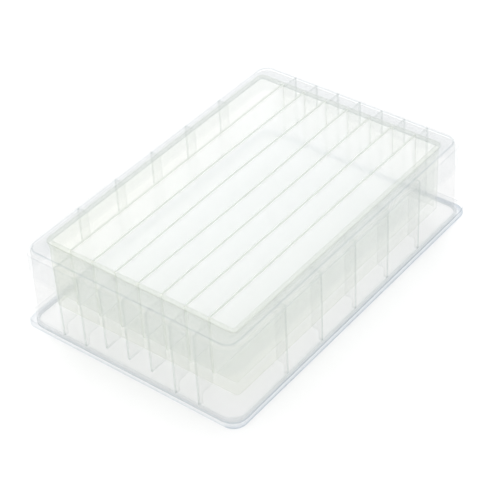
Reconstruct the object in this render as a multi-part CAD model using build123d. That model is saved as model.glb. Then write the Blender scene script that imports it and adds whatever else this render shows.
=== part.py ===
from build123d import *
import math
import os

# Eight-channel tray that stands inside a ribbed skirt.
# Millimetres, +Z up. X runs along the channels, Y across them.
# The origin is at the middle of the footprint, on the surface that the tray stands on.

os.makedirs("parts", exist_ok=True)

# ---------------------------------------------------------------- driving dimensions

# outer skirt and foot
foot_length = 127.76
foot_width = 85.48
foot_height = 2.41
foot_corner_radius = 4.6
foot_edge_radius = 0.4
foot_ledge = 1.15            # the foot stands this far proud of the wall at the ground
overall_height = 30.45
wall_corner_radius = 5.8
wall_draft = 0.4             # degrees, the walls lean inwards towards the top
lower_wall = 0.9
upper_wall = 1.2
wall_step_height = 19.5      # the wall is thin below this height and thick above it
deck_thickness = 1.0
deck_edge_radius = 1.2

# channel tray
rim_height = 0.8             # the rim stands this far above the deck
rim_lip = 0.6                # the rim reaches this far out over the deck
rim_edge_radius = 0.25
end_bay = 7.83               # from the outside of the wall at the ground to the tray, at a short end
side_bay = 5.04              # the same along a long side
tray_wall = 1.0
tray_floor = 1.2
tray_floor_top = 8.5
tray_bottom = 4.4
tray_corner_radius = 1.5
tray_clearance = 0.2         # between the tray and the deck and webs that guide it

# divider blades
channel_count = 8
divider_thickness = 0.9
divider_edge_radius = 0.2
slot_depth = 0.5             # into the tray's end walls
floor_slot_depth = 0.4
slot_clearance = 0.05        # on each face and each end of a blade

# webs between the skirt and the tray
web_thickness = 0.9
side_web_count = 5
side_web_pitch = 18.0
web_bottom = 5.0
tab_bottom = 1.2
end_tab_depth = 1.5          # the narrow tab that carries an end web down its wall
side_tab_depth = 1.2
tab_fillet = 1.2
webs_with_no_tab = 3         # the middle end webs stop at web_bottom

# ---------------------------------------------------------------- sizes that follow

deck_top = overall_height - rim_height
deck_underside = deck_top - deck_thickness
wall_length = foot_length - 2 * foot_ledge
wall_width = foot_width - 2 * foot_ledge
tray_length = wall_length - 2 * end_bay
tray_width = wall_width - 2 * side_bay
strip_line = tray_width / 2 - tray_corner_radius
inner_length = tray_length - 2 * tray_wall
inner_width = tray_width - 2 * tray_wall
divider_count = channel_count - 1
channel_width = (inner_width - divider_count * divider_thickness) / channel_count
channel_pitch = channel_width + divider_thickness
divider_bottom = tray_floor_top - floor_slot_depth
divider_length = inner_length + 2 * (slot_depth - slot_clearance)

divider_places = [(i - (divider_count - 1) / 2) * channel_pitch for i in range(divider_count)]
side_web_places = [(i - (side_web_count - 1) / 2) * side_web_pitch for i in range(side_web_count)]


def block(length, width, corner_radius, low, high, taper=0):
    """A rounded rectangle centred on the origin, drawn up from low to high."""
    outline = RectangleRounded(length, width, corner_radius) if corner_radius else Rectangle(length, width)
    return extrude(Pos(0, 0, low) * outline, amount=high - low, taper=taper)


def plain_box(length, width, low, high, y=0):
    """A square-cornered box centred on X, at a height and a place along Y."""
    return Pos(0, y, (low + high) / 2) * Box(length, width, high - low)


def top_edges(solid):
    """The edges around the highest flat face."""
    return solid.faces().sort_by(Axis.Z)[-1].outer_wire().edges()


def lean(height):
    """How far the drafted wall has come inwards at a height."""
    return height * math.tan(math.radians(wall_draft))


# ---------------------------------------------------------------- skirt and foot


def skirt_cavity():
    """The space inside the skirt and under its deck, stepped where the wall gets thicker."""
    lower = block(
        wall_length - 2 * lower_wall, wall_width - 2 * lower_wall,
        wall_corner_radius - lower_wall, 0, wall_step_height, wall_draft,
    )
    shrink = upper_wall + lean(wall_step_height)
    upper = block(
        wall_length - 2 * shrink, wall_width - 2 * shrink,
        wall_corner_radius - shrink, wall_step_height, deck_underside, wall_draft,
    )
    return lower + upper


def skirt_block():
    """The skirt's outside as one drafted block with a rounded top edge."""
    walls = block(wall_length, wall_width, wall_corner_radius, 0, deck_top, wall_draft)
    return fillet(top_edges(walls), deck_edge_radius)


cavity = skirt_cavity()
outside = skirt_block()


def skirt_moulding():
    """Four drafted walls and the deck, with the opening that the tray drops through."""
    opening = block(
        tray_length + 2 * tray_clearance, tray_width + 2 * tray_clearance,
        tray_corner_radius + tray_clearance, deck_underside - 1, deck_top + 1,
    )
    return outside - cavity - opening


moulding = skirt_moulding()


def skirt_walls():
    """The moulding up to the underside of the deck."""
    return moulding & plain_box(wall_length, wall_width, 0, deck_underside)


def long_deck_strip(side):
    """The deck along one long side, with the rounded corners of the opening. The side is 1 or -1."""
    depth = wall_width / 2 - strip_line
    middle = side * (strip_line + depth / 2)
    return moulding & plain_box(wall_length, depth, deck_underside, deck_top, middle)


def end_deck_strip(side):
    """The deck at one short end, between the two long strips. The side is 1 or -1."""
    half = plain_box(wall_length / 2, 2 * strip_line, deck_underside, deck_top)
    return moulding & (Pos(side * wall_length / 4, 0, 0) * half)


def foot_flange():
    """The ledge around the bottom of the walls."""
    ring = block(foot_length, foot_width, foot_corner_radius, 0, foot_height)
    ring = fillet(top_edges(ring), foot_edge_radius)
    return ring - outside


# ---------------------------------------------------------------- webs


def web_outline(inner, outer, tab_inner, with_tab):
    """One web in the XZ plane: full depth down to web_bottom, then a narrow tab down the wall."""
    points = [(inner, deck_underside), (inner, web_bottom)]
    if with_tab:
        points += [(tab_inner, web_bottom), (tab_inner, tab_bottom), (outer, tab_bottom)]
    else:
        points += [(outer, web_bottom)]
    points += [(outer, deck_underside)]
    face = make_face(Polyline(*points, close=True))
    if with_tab:
        corner = face.vertices().sort_by_distance((tab_inner, web_bottom))[0]
        face = fillet(corner, tab_fillet)
    return face


def web(inner, outer, tab_inner, with_tab, turn, along):
    """A web of web_thickness, turned to its side of the skirt and trimmed to the skirt's inside."""
    outline = web_outline(inner, outer, tab_inner, with_tab)
    plate = extrude(Plane.XZ * outline, amount=web_thickness / 2, both=True)
    plate = Rot(0, 0, turn) * Pos(0, along, 0) * plate
    return plate & cavity


def end_web(number, turn):
    """A web at a short end, in line with its divider blade. It is turned by 0 or 180 degrees."""
    tab_inner = wall_length / 2 - lower_wall - end_tab_depth
    middle = abs(number - (divider_count - 1) / 2) < webs_with_no_tab / 2
    side = 1 if turn == 0 else -1
    return web(
        tray_length / 2 + tray_clearance, wall_length / 2, tab_inner,
        not middle, turn, side * divider_places[number],
    )


def side_web(number, turn):
    """A web along a long side. It is turned by 90 or -90 degrees."""
    tab_inner = wall_width / 2 - lower_wall - side_tab_depth
    side = -1 if turn == 90 else 1
    return web(
        tray_width / 2 + tray_clearance, wall_width / 2, tab_inner,
        True, turn, side * side_web_places[number],
    )


# ---------------------------------------------------------------- channel tray and divider blades


def channel_tray():
    """The inner tray: walls, a raised rim that rests on the deck, a floor, and slots for the blades."""
    body = block(tray_length, tray_width, tray_corner_radius, tray_bottom, deck_top)
    rim = block(
        tray_length + 2 * rim_lip, tray_width + 2 * rim_lip,
        tray_corner_radius + rim_lip, deck_top, overall_height,
    )
    rim = fillet(top_edges(rim), rim_edge_radius)
    inner_radius = tray_corner_radius - tray_wall
    inside = block(inner_length, inner_width, inner_radius, tray_floor_top, overall_height + 1)
    underside = block(
        inner_length, inner_width, inner_radius, tray_bottom - 1, tray_floor_top - tray_floor,
    )
    tray = body + rim - inside - underside
    for place in divider_places:
        tray -= plain_box(
            inner_length + 2 * slot_depth, divider_thickness + 2 * slot_clearance,
            divider_bottom, overall_height + 1, place,
        )
    return tray


def divider(place):
    """A thin blade that stands in the slots, with its top edge level with the rim."""
    blade = plain_box(divider_length, divider_thickness, divider_bottom, overall_height, place)
    long_edges = blade.edges().filter_by(Axis.X).group_by(Axis.Z)[-1]
    return fillet(long_edges, divider_edge_radius)


# ---------------------------------------------------------------- write the pieces

pieces = {
    "skirt_walls": skirt_walls(),
    "front_deck": long_deck_strip(-1),
    "back_deck": long_deck_strip(1),
    "left_deck": end_deck_strip(-1),
    "right_deck": end_deck_strip(1),
    "foot_flange": foot_flange(),
    "channel_tray": channel_tray(),
}
for i in range(divider_count):
    pieces[f"left_end_web_{i + 1}"] = end_web(i, 180)
    pieces[f"right_end_web_{i + 1}"] = end_web(i, 0)
    pieces[f"divider_{i + 1}"] = divider(divider_places[i])
for i in range(side_web_count):
    pieces[f"front_side_web_{i + 1}"] = side_web(i, -90)
    pieces[f"back_side_web_{i + 1}"] = side_web(i, 90)

for name, piece in pieces.items():
    export_step(piece, f"parts/{name}.step")

print(f"channel width {channel_width:.3f}, pitch {channel_pitch:.3f}, {len(pieces)} pieces")
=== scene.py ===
import math

import bpy
import numpy as np
from mathutils import Matrix, Vector


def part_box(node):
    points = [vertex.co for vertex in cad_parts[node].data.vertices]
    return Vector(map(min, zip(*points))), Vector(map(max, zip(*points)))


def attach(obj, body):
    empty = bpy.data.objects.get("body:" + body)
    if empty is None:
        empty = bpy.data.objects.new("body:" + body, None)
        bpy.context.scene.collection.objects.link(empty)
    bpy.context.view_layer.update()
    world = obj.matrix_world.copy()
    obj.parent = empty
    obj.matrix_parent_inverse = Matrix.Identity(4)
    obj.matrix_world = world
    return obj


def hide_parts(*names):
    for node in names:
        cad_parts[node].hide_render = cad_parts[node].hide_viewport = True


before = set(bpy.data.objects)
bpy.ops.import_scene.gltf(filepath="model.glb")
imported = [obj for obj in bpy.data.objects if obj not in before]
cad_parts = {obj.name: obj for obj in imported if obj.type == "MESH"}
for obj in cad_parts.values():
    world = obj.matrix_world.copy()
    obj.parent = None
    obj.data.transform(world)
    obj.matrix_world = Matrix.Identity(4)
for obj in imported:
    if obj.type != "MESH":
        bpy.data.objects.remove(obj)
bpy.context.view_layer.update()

# ---------------------------------------------------------------- camera
# A long lens a little over half a metre away, looking down one corner of the tray.
camera_azimuth = math.radians(-50.57)       # from the front, and a minus turns it to the left
camera_elevation = math.radians(39.52)
camera_roll = math.radians(3.26)
camera_distance = 0.5399
camera_aim = Vector((0.00179, 0.00246, 0.00360))
lens_mm = 118.56
sensor_mm = 36.0


def place_camera():
    """Stand the camera back from its aim by azimuth and elevation, then roll it about its own sight."""
    away = Vector((
        math.sin(camera_azimuth) * math.cos(camera_elevation),
        -math.cos(camera_azimuth) * math.cos(camera_elevation),
        math.sin(camera_elevation),
    ))
    data = bpy.data.cameras.new("camera")
    data.lens = lens_mm
    data.sensor_width = sensor_mm
    camera = bpy.data.objects.new("camera", data)
    bpy.context.scene.collection.objects.link(camera)
    turn = (-away).to_track_quat("-Z", "Y").to_matrix().to_4x4()
    place = Matrix.Translation(camera_aim + away * camera_distance)
    camera.matrix_world = place @ turn @ Matrix.Rotation(-camera_roll, 4, "Z")
    bpy.context.scene.camera = camera


place_camera()

# ---------------------------------------------------------------- studio
# A white bench under a white tent. One broad soft lamp stands above and beyond the tray, so its far
# corner is the brightest. Light passes many thin walls, so it is given enough bounces to come through.
bench_half = 1.5
bench_white = 0.98
bench_roughness = 0.9
tent_strength = 1.03
lamp_size = 0.6
lamp_power = 2.4
lamp_place = Vector((0.45, 0.50, 0.75))
view = bpy.context.scene.view_settings
view.view_transform = "Standard"
light_paths = bpy.context.scene.cycles
light_paths.max_bounces = 24
light_paths.diffuse_bounces = 10
light_paths.transparent_max_bounces = 64


def build_studio():
    """A flat bench, an even white surround and one square lamp that faces the middle of the tray."""
    corners = [(x * bench_half, y * bench_half, 0) for x, y in ((-1, -1), (1, -1), (1, 1), (-1, 1))]
    mesh = bpy.data.meshes.new("bench")
    mesh.from_pydata(corners, [], [(0, 1, 2, 3)])
    bench = bpy.data.objects.new("bench", mesh)
    bpy.context.scene.collection.objects.link(bench)
    paper = bpy.data.materials.new("white_paper")
    paper.use_nodes = True
    shader = paper.node_tree.nodes["Principled BSDF"]
    shader.inputs["Base Color"].default_value = (bench_white, bench_white, bench_white, 1)
    shader.inputs["Roughness"].default_value = bench_roughness
    mesh.materials.append(paper)

    world = bpy.data.worlds.new("tent")
    world.use_nodes = True
    world.node_tree.nodes["Background"].inputs["Color"].default_value = (1, 1, 1, 1)
    world.node_tree.nodes["Background"].inputs["Strength"].default_value = tent_strength
    bpy.context.scene.world = world

    data = bpy.data.lights.new("soft_lamp", "AREA")
    data.size = lamp_size
    data.energy = lamp_power
    lamp = bpy.data.objects.new("soft_lamp", data)
    bpy.context.scene.collection.objects.link(lamp)
    lamp.location = lamp_place
    lamp.rotation_euler = (-lamp_place).to_track_quat("-Z", "Y").to_euler()


build_studio()

# ---------------------------------------------------------------- skirt
# The outer moulding: four thin drafted walls and a flat deck with a long opening, in one piece of clear
# plastic that looks cool grey along its edges. The wall is thicker near the deck, and every edge has the
# small round that a mould leaves.
mm = 0.001
walls_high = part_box("skirt_walls")[1]
deck_low, deck_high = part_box("left_deck")
wall_half = np.array([walls_high.x, walls_high.y])
wall_corner = 5.8 * mm
draft = math.tan(math.radians(0.4))
deck_top = deck_high.z
deck_underside = deck_low.z
rim_overlap = 0.4 * mm                      # the tray's rim reaches this far over the deck
opening_half = np.array([-deck_high.x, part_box("channel_tray")[1].y - rim_overlap])
opening_corner = 1.7 * mm
lower_wall = 0.9 * mm
upper_wall = 1.2 * mm
step_height = 19.5 * mm
step_blend = 0.2 * mm                       # above and below the step, where the wall's look changes
deck_round = 1.2 * mm
small_round = 0.15 * mm
ridge_inset = 1.9 * mm                      # painted shade: a dark line on the deck just inside its rounded edge, where the round turns the light
ridge_width = 0.55 * mm
long_stops = np.arange(-50, 51, 2) * mm
short_stops = np.arange(-34, 35, 2) * mm
inner_stops = (14 * mm, 8 * mm, 3 * mm)     # heights down the inside of the thin wall

# the plastic itself
resin_index = 1.49
haze_scale = 28.0                           # slow clouds a few centimetres across
ripple_scale = 260.0
ripple_strength = 0.015
ripple_depth = 0.4 * mm
warm_light_tint = (0.975, 0.99, 0.83, 1)             # the tint of the painted warm light, as what it keeps of each colour

# how much each stretch looks like an edge, from 0 for an open face to 1 for a sheet seen end on
wall_end_tone = 0.5
thick_wall_tone = 0.14
deck_round_tones = (thick_wall_tone, 0.5, 0.3, 0.0, 0.0, 0.0, 0.0, 0.0, 0.1)
# the painted shade line just inside the deck's rounded edge
ridge_shade_tone = 0.9
beside_ridge_tone = 0.08
opening_tone = 0.4
under_deck_tone = 0.15


def arc(start, end, steps):
    """Angles from start to end in degrees, as an array of radians with both ends."""
    return np.radians(np.linspace(start, end, steps + 1))


def ring_rows(half_x, half_y, radius, z, x_stops=(), y_stops=(), corner_steps=10):
    """Rows of rounded rectangles, one for each height.

    A corner point is the corner's centre, half size less radius, plus the radius times (cos a, sin a),
    with a running through 90 degrees. Between corners the points stand at the given stops along X or Y.
    Rows run along the profile, and columns go round anticlockwise as seen from above. The result is an
    array of (rows, columns, 3).
    """
    half_x, half_y, radius, z = (np.asarray(v, float)[:, None] for v in (half_x, half_y, radius, z))
    x_stops, y_stops = np.asarray(x_stops, float), np.asarray(y_stops, float)
    xs, ys = [], []
    for quarter, (side_x, side_y) in enumerate(((1, 1), (-1, 1), (-1, -1), (1, -1))):
        angle = arc(90 * quarter, 90 * quarter + 90, corner_steps)[None, :]
        xs.append(side_x * (half_x - radius) + radius * np.cos(angle))
        ys.append(side_y * (half_y - radius) + radius * np.sin(angle))
        if quarter in (0, 2):
            run = x_stops[::-1] if quarter == 0 else x_stops
            xs.append(np.broadcast_to(run, (len(z), len(run))))
            ys.append(np.broadcast_to(side_y * half_y, (len(z), len(run))))
        else:
            run = y_stops[::-1] if quarter == 1 else y_stops
            xs.append(np.broadcast_to(side_x * half_x, (len(z), len(run))))
            ys.append(np.broadcast_to(run, (len(z), len(run))))
    x, y = np.hstack(xs), np.hstack(ys)
    return np.stack([x, y, np.broadcast_to(z, x.shape)], axis=2)


def grid_quads(rows, columns, close_rows):
    """Quads between neighbours of a grid whose columns close on themselves, and whose rows may."""
    i = np.arange(rows if close_rows else rows - 1)[:, None]
    j = np.arange(columns)[None, :]
    after_i, after_j = (i + 1) % rows, (j + 1) % columns
    corners = (i * columns + j, i * columns + after_j, after_i * columns + after_j, after_i * columns + j)
    return np.stack(corners, axis=2).reshape(-1, 4).tolist()


def mesh_piece(name, points, faces, edge, material, body, nodes, age=None):
    """One closed mesh from an array of points, with its material and its place in the frame.

    Its edge attribute is how much each point looks like an edge, and its second attribute, if it has one,
    is how strongly a warm light is painted there.
    """
    mesh = bpy.data.meshes.new(name)
    mesh.from_pydata(points.reshape(-1, 3).tolist(), [], faces)
    for kind, values in (("edge", edge), ("age", age)):
        if values is not None:
            attribute = mesh.attributes.new(kind, "FLOAT", "POINT")
            attribute.data.foreach_set("value", np.ascontiguousarray(values, np.float32).ravel())
    mesh.polygons.foreach_set("use_smooth", np.ones(len(mesh.polygons), bool))
    mesh.set_sharp_from_angle(angle=math.radians(40))
    mesh.materials.append(material)
    mesh.validate()
    piece = bpy.data.objects.new(name, mesh)
    bpy.context.scene.collection.objects.link(piece)
    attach(piece, body)
    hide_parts(*nodes)
    return piece


def colour_between(tree, factor, low, high):
    """A colour that goes from low to high as the factor goes from 0 to 1."""
    node = tree.nodes.new("ShaderNodeMix")
    node.data_type = "RGBA"
    node.inputs["A"].default_value = (*low, 1)
    node.inputs["B"].default_value = (*high, 1)
    tree.links.new(factor, node.inputs["Factor"])
    return node.outputs["Result"]


def number_between(tree, factor, low, high):
    """A number that goes from low to high as the factor goes from 0 to 1."""
    node = tree.nodes.new("ShaderNodeMapRange")
    node.inputs["To Min"].default_value = low
    node.inputs["To Max"].default_value = high
    tree.links.new(factor, node.inputs["Value"])
    return node.outputs["Result"]


def clear_plastic(
    name, through, dense, body, edge_body, solid, edge_solid, graze, roughness, cloud, shine=0.5,
):
    """Thin clear moulding. A share of each face is solid, and the rest lets what is behind it show.

    A sheet seen end on is looked at through its whole depth. So with the edge attribute the solid share
    goes from solid to edge_solid, its colour from body to edge_body, and the tint of what shows through
    from through to dense. The share also grows by graze where a face is seen at a slant. The second
    attribute paints a warm light into the colour. A slow noise clouds the colour by cloud and the gloss
    by a tenth, and a fine one is a barely rippled surface. Shine is how strongly the solid share
    reflects.
    """
    material = bpy.data.materials.new(name)
    material.use_nodes = True
    tree = material.node_tree
    nodes, links = tree.nodes, tree.links
    nodes.clear()
    output = nodes.new("ShaderNodeOutputMaterial")
    place = nodes.new("ShaderNodeTexCoord").outputs["Object"]
    edge, age = nodes.new("ShaderNodeAttribute"), nodes.new("ShaderNodeAttribute")
    edge.attribute_name, age.attribute_name = "edge", "age"

    haze = nodes.new("ShaderNodeTexNoise")
    haze.inputs["Scale"].default_value = haze_scale
    haze.inputs["Detail"].default_value = 3.0
    links.new(place, haze.inputs["Vector"])

    # painted warm light: where the attribute is set, the colour is tinted warm
    warm_lit = nodes.new("ShaderNodeMix")
    warm_lit.data_type = "RGBA"
    warm_lit.blend_type = "MULTIPLY"
    warm_lit.inputs["B"].default_value = warm_light_tint
    links.new(age.outputs["Fac"], warm_lit.inputs["Factor"])
    links.new(colour_between(tree, edge.outputs["Fac"], body, edge_body), warm_lit.inputs["A"])
    colour = nodes.new("ShaderNodeVectorMath")
    colour.operation = "SCALE"
    links.new(warm_lit.outputs["Result"], colour.inputs[0])
    links.new(number_between(tree, haze.outputs["Fac"], 1 - cloud, 1 + cloud), colour.inputs["Scale"])

    ripple = nodes.new("ShaderNodeTexNoise")
    ripple.inputs["Scale"].default_value = ripple_scale
    links.new(place, ripple.inputs["Vector"])
    bump = nodes.new("ShaderNodeBump")
    bump.inputs["Strength"].default_value = ripple_strength
    bump.inputs["Distance"].default_value = ripple_depth
    links.new(ripple.outputs["Fac"], bump.inputs["Height"])

    shell = nodes.new("ShaderNodeBsdfPrincipled")
    shell.inputs["IOR"].default_value = resin_index
    shell.inputs["Specular IOR Level"].default_value = shine
    gloss = number_between(tree, haze.outputs["Fac"], roughness * 0.9, roughness * 1.1)
    links.new(colour.outputs[0], shell.inputs["Base Color"])
    links.new(gloss, shell.inputs["Roughness"])
    links.new(bump.outputs["Normal"], shell.inputs["Normal"])
    glow = nodes.new("ShaderNodeBsdfTranslucent")
    links.new(colour.outputs[0], glow.inputs["Color"])
    milk = nodes.new("ShaderNodeMixShader")
    milk.inputs["Fac"].default_value = 0.5
    links.new(shell.outputs[0], milk.inputs[1])
    links.new(glow.outputs[0], milk.inputs[2])

    slant = nodes.new("ShaderNodeLayerWeight")
    slant.inputs["Blend"].default_value = 0.35
    share = nodes.new("ShaderNodeMath")
    share.operation = "MULTIPLY_ADD"
    share.use_clamp = True
    share.inputs[1].default_value = graze
    links.new(slant.outputs["Facing"], share.inputs[0])
    links.new(number_between(tree, edge.outputs["Fac"], solid, edge_solid), share.inputs[2])

    clear = nodes.new("ShaderNodeBsdfTransparent")
    links.new(colour_between(tree, edge.outputs["Fac"], through, dense), clear.inputs["Color"])
    mix = nodes.new("ShaderNodeMixShader")
    links.new(share.outputs[0], mix.inputs["Fac"])
    links.new(clear.outputs[0], mix.inputs[1])
    links.new(milk.outputs[0], mix.inputs[2])
    links.new(mix.outputs[0], output.inputs["Surface"])
    return material


skirt_plastic = clear_plastic(
    "skirt_plastic", through=(0.964, 0.964, 0.965), dense=(0.79, 0.815, 0.83),
    body=(0.94, 0.94, 0.94), edge_body=(0.46, 0.52, 0.56),
    solid=0.05, edge_solid=0.30, graze=0.02, roughness=0.22, cloud=0.01,
)


def skirt_profile():
    """The closed section of a skirt wall and deck, as rows of (inset from the outside, height, tone).

    It goes up the outside, round the deck's edge, in over the deck, down through the opening, back under
    the deck, and down the inside past the step. An inset of None is a row on the opening's outline.
    """
    thin_part = np.linspace(4 * mm, step_height - step_blend, 8)
    thick_part = np.linspace(step_height + step_blend, deck_top - deck_round - 0.4 * mm, 5)
    rows = [(small_round, 0.0, 0.6), (0.0, small_round, wall_end_tone), (0.0, 1.0 * mm, 0.0)]
    rows += [(0.0, z, 0.0) for z in thin_part]
    rows += [(0.0, z, thick_wall_tone) for z in thick_part]
    for angle, tone in zip(arc(0, 90, 8), deck_round_tones):
        inset = deck_round * (1 - math.cos(angle))
        rows.append((inset, deck_top - deck_round * (1 - math.sin(angle)), tone))
    rows += [
        # a painted shade line on the deck, just inside its rounded edge
        (ridge_inset - ridge_width, deck_top, 0.1),
        (ridge_inset, deck_top, ridge_shade_tone),
        (ridge_inset + ridge_width, deck_top, beside_ridge_tone),
        (None, deck_top, beside_ridge_tone),
        (None, deck_underside, opening_tone),
        (upper_wall + 2 * small_round, deck_underside, under_deck_tone),
        (upper_wall, deck_underside - 2 * small_round, under_deck_tone),
        (upper_wall, step_height + small_round, under_deck_tone),
        (lower_wall, step_height - small_round, 0.0),
    ]
    rows += [(lower_wall, z, 0.0) for z in inner_stops]
    rows += [(lower_wall, 0.0, wall_end_tone)]
    return rows


def build_skirt():
    """Carry the section round the footprint, as rounded rectangles that lean in by height x draft."""
    profile = skirt_profile()
    half_x, half_y, radius, z = [], [], [], []
    for inset, height, _ in profile:
        if inset is None:
            half_x.append(opening_half[0])
            half_y.append(opening_half[1])
            radius.append(opening_corner)
        else:
            shift = inset + height * draft
            half_x.append(wall_half[0] - shift)
            half_y.append(wall_half[1] - shift)
            radius.append(wall_corner - shift)
        z.append(height)
    points = ring_rows(half_x, half_y, radius, z, long_stops, short_stops)
    edge = np.repeat([row[2] for row in profile], points.shape[1])
    faces = grid_quads(*points.shape[:2], close_rows=True)
    nodes = ["skirt_walls", "front_deck", "back_deck", "left_deck", "right_deck"]
    mesh_piece("skirt", points, faces, edge, skirt_plastic, "skirt", nodes)


build_skirt()

# ---------------------------------------------------------------- foot
# The ledge round the bottom of the skirt, moulded with it. It is clearer than the walls on its flat
# faces, and bluer along its rounded top edge and its bottom corner, which bend the light most.
foot_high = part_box("foot_flange")[1]
foot_corner = 4.6 * mm
foot_round = 0.4 * mm
foot_base_round = 0.1 * mm
foot_sunk = 0.3 * mm                        # how deep the ledge's root lies in the wall
foot_round_tones = (0.2, 0.5, 0.8, 0.8, 0.5, 0.2, 0.0)
foot_pale_share = 0.5                       # round the left and back the painted refraction shade on the ledge's edges is halved
foot_pale_from = 4 * mm                     # which starts this far behind its front

foot_plastic = clear_plastic(
    "foot_plastic", through=(0.985, 0.986, 0.987), dense=(0.83, 0.86, 0.89),
    body=(0.92, 0.925, 0.93), edge_body=(0.50, 0.58, 0.66),
    solid=0.03, edge_solid=0.3, graze=0.02, roughness=0.2, cloud=0.01,
)


def build_foot():
    """Carry a square section with a rounded top corner round the footprint, with its root in the wall."""
    height = foot_high.z
    turn = arc(0, 90, len(foot_round_tones) - 1)
    out = np.array([foot_base_round, 0.0, 0.0, 0.0, *(foot_round * (1 - np.cos(turn)))])
    z = [0.0, foot_base_round, 0.6 * mm, height - foot_round - 0.3 * mm]
    z += list(height - foot_round * (1 - np.sin(turn)))
    edge = [1.0, 1.0, 0.0, 0.0, *foot_round_tones]
    half_x = list(foot_high.x - out)
    half_y = list(foot_high.y - out)
    radius = list(foot_corner - out)
    for root_z in (height, 0.0):
        shift = foot_sunk + root_z * draft
        half_x.append(wall_half[0] - shift)
        half_y.append(wall_half[1] - shift)
        radius.append(wall_corner - shift)
        z.append(root_z)
        edge.append(0.1)
    points = ring_rows(half_x, half_y, radius, z)
    faces = grid_quads(*points.shape[:2], close_rows=True)
    # painted refraction shade on the ledge's edges, halved round the left and back
    pale = (points[..., 0] < 0) & (points[..., 1] > foot_pale_from - foot_high.y)
    edge = np.repeat(edge, points.shape[1]) * np.where(pale, foot_pale_share, 1.0).ravel()
    mesh_piece("foot", points, faces, edge, foot_plastic, "skirt", ["foot_flange"])


build_foot()

# ---------------------------------------------------------------- webs
# Twenty-four thin plates moulded inside the skirt, which stiffen the deck and guide the tray. Most end in
# a narrow tab that runs on down the wall; the three in the middle of each short end stop short. They are
# densest where they meet the wall.
web_bottom = 5.0 * mm
tab_round = 1.2 * mm
end_tab_depth = 1.5 * mm
side_tab_depth = 1.2 * mm
web_edge_round = 0.15 * mm
web_root = 0.1 * mm                         # how far a web runs on into the wall and the deck
web_free_tone = 0.1
web_bend_tone = 0.15
web_tab_tone = 0.25
web_wall_tone = 0.75

web_plastic = clear_plastic(
    "web_plastic", through=(0.98, 0.982, 0.98), dense=(0.89, 0.91, 0.905),
    body=(0.90, 0.91, 0.905), edge_body=(0.60, 0.64, 0.63),
    solid=0.05, edge_solid=0.25, graze=0.0, roughness=0.3, cloud=0.006,
)


def inset_outline(outline, distance):
    """Move each point of a closed outline inwards by distance from both of its sides.

    The move is (n1 + n2) / (1 + n1 . n2) times the distance, where n1 and n2 point out of the two sides.
    """
    along = np.roll(outline, -1, axis=0) - outline
    along /= np.linalg.norm(along, axis=1)[:, None]
    after = np.stack([along[:, 1], -along[:, 0]], axis=1)
    before = np.roll(after, 1, axis=0)
    miter = (before + after) / (1 + np.sum(before * after, axis=1))[:, None]
    return outline - distance * miter


def turn_outwards(piece):
    """Flip a closed mesh whose volume, the sum of a . (b x c) / 6 over its triangles, comes out minus."""
    mesh = piece.data
    mesh.calc_loop_triangles()
    co = np.zeros(len(mesh.vertices) * 3)
    mesh.vertices.foreach_get("co", co)
    tris = np.zeros(len(mesh.loop_triangles) * 3, int)
    mesh.loop_triangles.foreach_get("vertices", tris)
    a, b, c = co.reshape(-1, 3)[tris.reshape(-1, 3)].transpose(1, 0, 2)
    if np.sum(a * np.cross(b, c)) / 6 < 0:
        mesh.flip_normals()


def web_outline(depth, bottom, tab_depth):
    """One web seen flat, as points of (out from the tray, height), and the tone at each of them.

    It goes down the free edge, round the bend to the tab if the web has one, and up the wall.
    """
    top = deck_underside + web_root
    wall = depth + web_root
    if bottom > web_bottom - mm:
        outline = [(0.0, top), (0.0, bottom), (wall, bottom), (wall, top)]
        return np.array(outline), np.array([web_free_tone] * 2 + [web_wall_tone] * 2)
    tab = depth - tab_depth
    turn = arc(90, 0, 5)
    across = tab - tab_round + tab_round * np.cos(turn)
    up = web_bottom - tab_round + tab_round * np.sin(turn)
    bend = np.stack([across, up], axis=1)
    outline = [(0.0, top), (0.0, web_bottom), *bend, (tab, bottom), (wall, bottom), (wall, top)]
    tone = [web_free_tone] * 2 + [web_bend_tone] * len(bend) + [web_tab_tone] + [web_wall_tone] * 2
    return np.array(outline), np.array(tone)


def build_web(name):
    """A web from its CAD box: its outline is carried across the thickness, with rounded free edges."""
    low, high = (np.array(c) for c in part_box(name))
    across = 1 if "end_web" in name else 0
    along = 1 - across
    side = -1 if (low + high)[along] < 0 else 1
    free = np.abs([low[along], high[along]]).min()
    depth = np.abs([low[along], high[along]]).max() - free
    outline, tone = web_outline(depth, low[2], end_tab_depth if across == 1 else side_tab_depth)
    half = (high - low)[across] / 2
    turn = arc(0, 90, 3)
    swing, rise = web_edge_round * (1 - np.cos(turn)), web_edge_round * (1 - np.sin(turn))
    inset = np.concatenate([rise, swing])
    offset = np.concatenate([swing - half, half - rise])
    rows = np.stack([inset_outline(outline, d) for d in inset])
    points = np.zeros((len(inset), len(outline), 3))
    points[:, :, along] = side * (free + rows[:, :, 0])
    points[:, :, across] = (low + high)[across] / 2 + offset[:, None]
    points[:, :, 2] = rows[:, :, 1]
    count = len(outline)
    faces = grid_quads(len(inset), count, close_rows=False)
    faces += [list(range(count))[::-1], list(range((len(inset) - 1) * count, len(inset) * count))]
    edge = np.zeros(points.shape[:2])
    edge[1:-1] = tone
    plate = name + "_plate"
    turn_outwards(mesh_piece(plate, points, faces, edge, web_plastic, "skirt", [name]))


for node_name in sorted(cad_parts):
    if "_web_" in node_name:
        build_web(node_name)
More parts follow.
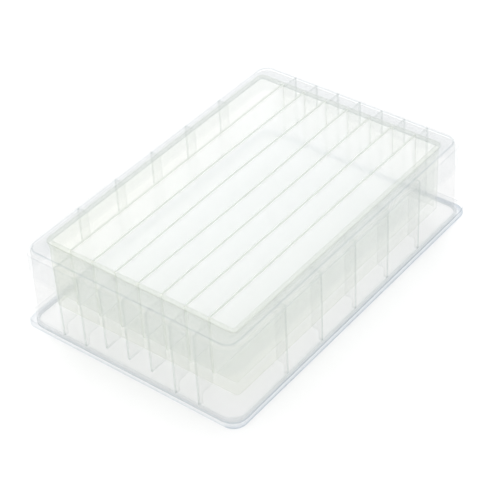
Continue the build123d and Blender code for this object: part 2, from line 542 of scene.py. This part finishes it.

# ---------------------------------------------------------------- channel tray
# The inner moulding: walls, a raised rim that rests on the deck, and a floor, with slots for the blades.
# It is milkier and greener than the skirt, and a warm light is painted on its walls, strongest at the
# left end.
tray_low, tray_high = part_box("channel_tray")
blade_boxes = [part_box(f"divider_{i}") for i in range(1, 8)]
rim_lip = 0.6 * mm
rim_round = 0.25 * mm
tray_wall = 1.0 * mm
tray_corner = 1.5 * mm
tray_floor = 1.2 * mm
tray_base_round = 0.1 * mm
floor_slot = 0.4 * mm
slot_gap = 0.05 * mm
floor_top = blade_boxes[0][0].z + floor_slot
outer_half = np.array([tray_high.x - rim_lip, tray_high.y - rim_lip])
inner_half = outer_half - tray_wall
slot_end = blade_boxes[0][1].x + slot_gap
rim_tone = 0.6
slot_tone = 0.1
age_middle = 0.65                           # how strong the painted warm light is on the walls at mid-length
age_run = 0.17                              # metres along the tray for a whole step of painted warm light
age_least = 0.3

tray_plastic = clear_plastic(
    "tray_plastic", through=(0.995, 0.996, 0.997), dense=(0.91, 0.925, 0.905),
    body=(0.982, 0.985, 0.989), edge_body=(0.62, 0.66, 0.61),
    solid=0.10, edge_solid=0.32, graze=0.02, roughness=0.3, cloud=0.004,
)


def tray_profile():
    """The section of a tray wall, as rows of (out from its inner face, height, tone, cut by slots).

    It goes from under the floor down to the base, up the outside, over the rim and down to the floor.
    """
    under = floor_top - tray_floor
    base = tray_low.z
    rim_out = tray_wall + rim_lip
    turn = arc(0, 90, 4)
    swing, drop = rim_round * (1 - np.cos(turn)), rim_round * (1 - np.sin(turn))
    rows = [
        (0.0, under, 0.1, False),
        (0.0, base + tray_base_round, 0.2, False),
        (tray_base_round, base, 0.3, False),
        (tray_wall - tray_base_round, base, 0.3, False),
        (tray_wall, base + tray_base_round, 0.2, False),
        (tray_wall, base + 0.8 * mm, 0.0, False),
        (tray_wall, under, 0.15, False),
        (tray_wall, deck_top, 0.3, False),
        (rim_out, deck_top, rim_tone, False),
    ]
    rows += [(rim_out - o, tray_high.z - d, rim_tone, False) for o, d in zip(swing, drop)]
    rows += [(o, tray_high.z - d, rim_tone, True) for o, d in zip(swing[::-1], drop[::-1])]
    rows += [
        (0.0, tray_high.z - 1.2 * mm, 0.1, True),
        (0.0, floor_top + 0.8 * mm, 0.0, True),
        (0.0, floor_top + 0.1 * mm, 0.1, True),
        (0.0, floor_top, 0.3, True),
    ]
    return rows


def build_tray():
    """Rows of rounded rectangles along the section, and a floor laid in strips from end to end.

    On the inner rows the columns that stand in a slot are moved out to the slot's end, and on the floor
    they are lowered by its depth, so a strip between two columns is level, lowered or upright.
    """
    rows = tray_profile()
    out, z, tone, cut = (np.array(column) for column in zip(*rows))
    sides = [(low.y - slot_gap, high.y + slot_gap) for low, high in blade_boxes]
    y_stops = np.array([y for low, high in sides for y in (low, low, high, high)])
    in_slot = np.tile([False, True, True, False], len(sides))
    radius = tray_corner - tray_wall + out
    corner_steps = 6
    points = ring_rows(inner_half[0] + out, inner_half[1] + out, radius, z, (), y_stops, corner_steps)
    count = points.shape[1]
    corner = corner_steps + 1
    left_end = 2 * corner + len(y_stops)
    right_start = 4 * corner + len(y_stops)
    slotted_column = np.zeros(count, bool)
    slotted_column[2 * corner:left_end] = in_slot[::-1]
    slotted_column[right_start:] = in_slot
    slotted = cut[:, None] & slotted_column[None, :]
    points[..., 0] = np.where(slotted, np.sign(points[..., 0]) * slot_end, points[..., 0])
    points[-1, :, 2] -= np.where(slotted_column, floor_slot, 0.0)

    faces = grid_quads(*points.shape[:2], close_rows=False)
    left_line = np.arange(corner, left_end + corner)
    right_line = np.concatenate([np.arange(corner)[::-1], np.arange(left_end + corner, count)[::-1]])
    floor = (len(rows) - 1) * count
    for k in range(len(left_line) - 1):
        l0, l1, r0, r1 = left_line[k], left_line[k + 1], right_line[k], right_line[k + 1]
        faces.append([floor + l1, floor + r1, floor + r0, floor + l0])
        faces.append([l0, r0, r1, l1])

    edge = np.repeat(tone, count).reshape(points.shape[:2])
    edge[slotted] = slot_tone
    # painted warm light on the walls, strongest towards the left end, none on the rim or at the section's
    # ends
    age = np.clip(age_middle - points[..., 0] / age_run, age_least, 1.0)
    age[0] = age[-1] = 0.0
    age[edge >= rim_tone] = 0.0
    mesh_piece("tray", points, faces, edge, tray_plastic, "tray", ["channel_tray"], age)


build_tray()

# ---------------------------------------------------------------- divider blades
# Seven thin blades of hazier, duller plastic that stand in the slots. Their ends are held true, and
# between them the top edges wander by a fraction of a millimetre; the two in the middle bow apart most.
blade_bow = [0.15, -0.2, -0.25, -0.55, 0.5, 0.2, -0.1]      # mm at mid-length, along the top edge
blade_round = 0.2 * mm
blade_taper = 0.06 * mm                     # each face leans in by this much towards the top
blade_shoulder = 0.2 * mm                   # a blade looks like an edge from this far below its round
blade_shoulder_fade = 0.1 * mm
blade_end = 0.3 * mm                        # and this far in from each end
blade_end_tone = 0.5
blade_stations = 47

blade_plastic = clear_plastic(
    "blade_plastic", through=(0.996, 0.997, 0.9975), dense=(0.94, 0.95, 0.935),
    body=(0.985, 0.988, 0.99), edge_body=(0.72, 0.75, 0.71),
    solid=0.26, edge_solid=0.55, graze=0.0, roughness=0.5, cloud=0.004, shine=0.15,
)


def build_blade(number, bow):
    """A rounded section carried along X. At u of 0 to 1 it moves aside by bow sin^2(pi u) z / height."""
    node = f"divider_{number}"
    low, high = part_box(node)
    half = (high.y - low.y) / 2
    shoulder = high.z - blade_round - blade_shoulder
    turn = arc(0, 90, 4)
    top_y = half - blade_taper - blade_round * (1 - np.cos(turn))
    top_z = high.z - blade_round * (1 - np.sin(turn))
    side_z = np.linspace(low.z, shoulder, 6)
    side_y = half - blade_taper * (side_z - low.z) / (high.z - low.z)
    half_y, half_z = np.concatenate([side_y, top_y]), np.concatenate([side_z, top_z])
    y = np.concatenate([half_y, -half_y[::-1]])
    z = np.concatenate([half_z, half_z[::-1]])
    end_gap = blade_end / (high.x - low.x)
    u = np.concatenate([[0.0], np.linspace(end_gap, 1 - end_gap, blade_stations), [1.0]])
    rise = (z - low.z) / (high.z - low.z)
    aside = bow * mm * np.sin(np.pi * u)[:, None] ** 2 * rise[None, :]
    points = np.zeros((len(u), len(y), 3))
    points[..., 0] = (low.x + (high.x - low.x) * u)[:, None]
    points[..., 1] = (low.y + high.y) / 2 + y[None, :] + aside
    points[..., 2] = z[None, :]
    count = len(y)
    faces = grid_quads(len(u), count, close_rows=False)
    faces += [list(range(count)), list(range((len(u) - 1) * count, len(u) * count))[::-1]]
    edge = np.zeros(points.shape[:2])
    edge[:] = np.clip((z - shoulder) / blade_shoulder_fade, 0, 1)
    edge[0] = edge[-1] = blade_end_tone
    blade = f"blade_{number}"
    turn_outwards(mesh_piece(blade, points, faces, edge, blade_plastic, node, [node]))


for number, bow in enumerate(blade_bow, start=1):
    build_blade(number, bow)
